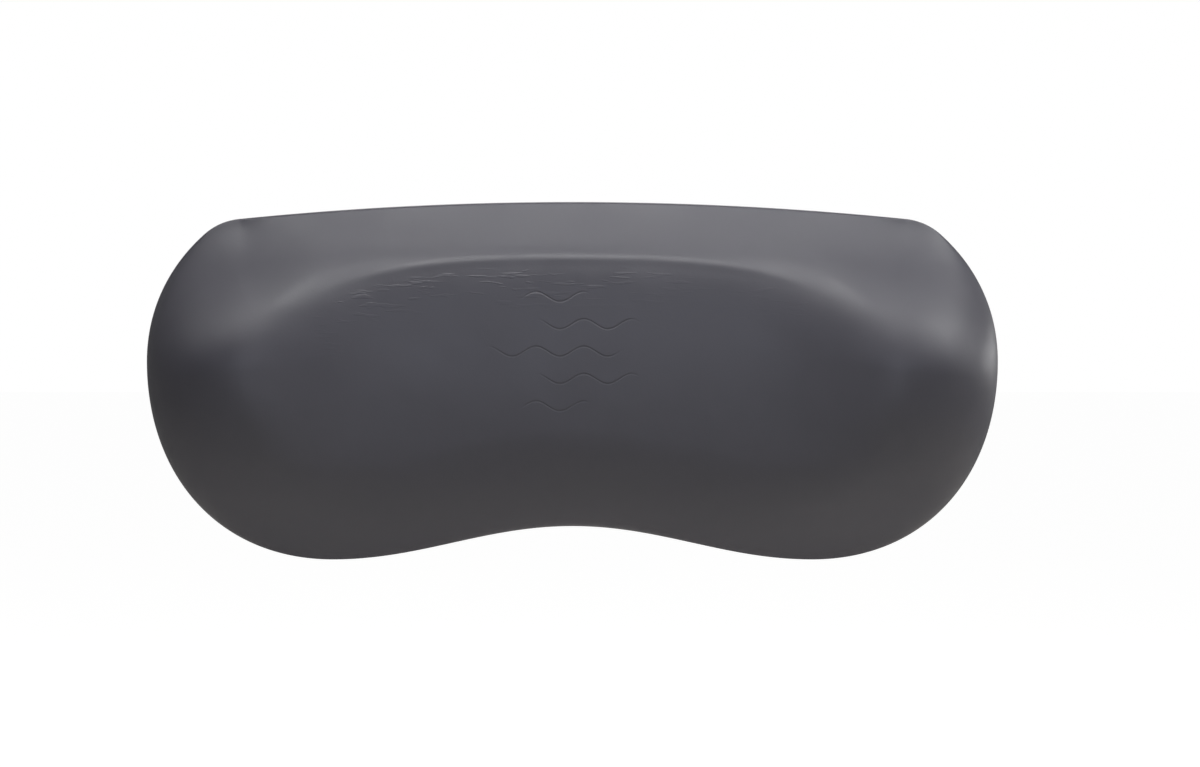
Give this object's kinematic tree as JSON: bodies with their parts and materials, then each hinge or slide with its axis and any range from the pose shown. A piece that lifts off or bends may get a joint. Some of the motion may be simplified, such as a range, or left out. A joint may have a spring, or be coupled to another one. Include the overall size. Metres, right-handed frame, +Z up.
{
  "type": "bath pillow",
  "caption": "Moulded foam bath pillow with arched top, rounded end lobes, scooped head hollow and neck notch, held to the bath wall by suction cups.",
  "frame": {"origin": "on the bath wall, in the plane of the suction cup rims, at mid-width and mid-height of the cushion", "axes": "+X to the right seen from the front, +Y into the bath wall, +Z up. The cushion's face looks to -Y."},
  "size_m": [0.38, 0.0567, 0.16],
  "materials": {
    "polyurethane_skin": "satin",
    "polyurethane_foam": "matte",
    "polypropylene": "matte",
    "socket_polypropylene": "satin",
    "clear_pvc": "gloss"
  },
  "bodies": {
    "cushion": {"moulded_skin": "polyurethane_skin", "foam_core": "polyurethane_foam", "back_plate": "polypropylene", "cup_socket_upper_left": "socket_polypropylene", "cup_socket_upper_right": "socket_polypropylene", "cup_socket_lower_left": "socket_polypropylene", "cup_socket_lower_right": "socket_polypropylene"},
    "cup_upper_left": {"suction_cup_upper_left": "clear_pvc"},
    "cup_upper_right": {"suction_cup_upper_right": "clear_pvc"},
    "cup_lower_left": {"suction_cup_lower_left": "clear_pvc"},
    "cup_lower_right": {"suction_cup_lower_right": "clear_pvc"}
  },
  "joints": [
    {"name": "cup_spin_upper_left", "type": "hinge", "parent": "cushion", "child": "cup_upper_left", "pos_m": [-0.12484, 0, 0.02475], "axis": [0, 1, 0], "continuous": true},
    {"name": "cup_spin_upper_right", "type": "hinge", "parent": "cushion", "child": "cup_upper_right", "pos_m": [0.12484, 0, 0.02475], "axis": [0, 1, 0], "continuous": true},
    {"name": "cup_spin_lower_left", "type": "hinge", "parent": "cushion", "child": "cup_lower_left", "pos_m": [-0.07484, 0, -0.0265], "axis": [0, 1, 0], "continuous": true},
    {"name": "cup_spin_lower_right", "type": "hinge", "parent": "cushion", "child": "cup_lower_right", "pos_m": [0.07484, 0, -0.0265], "axis": [0, 1, 0], "continuous": true}
  ]
}
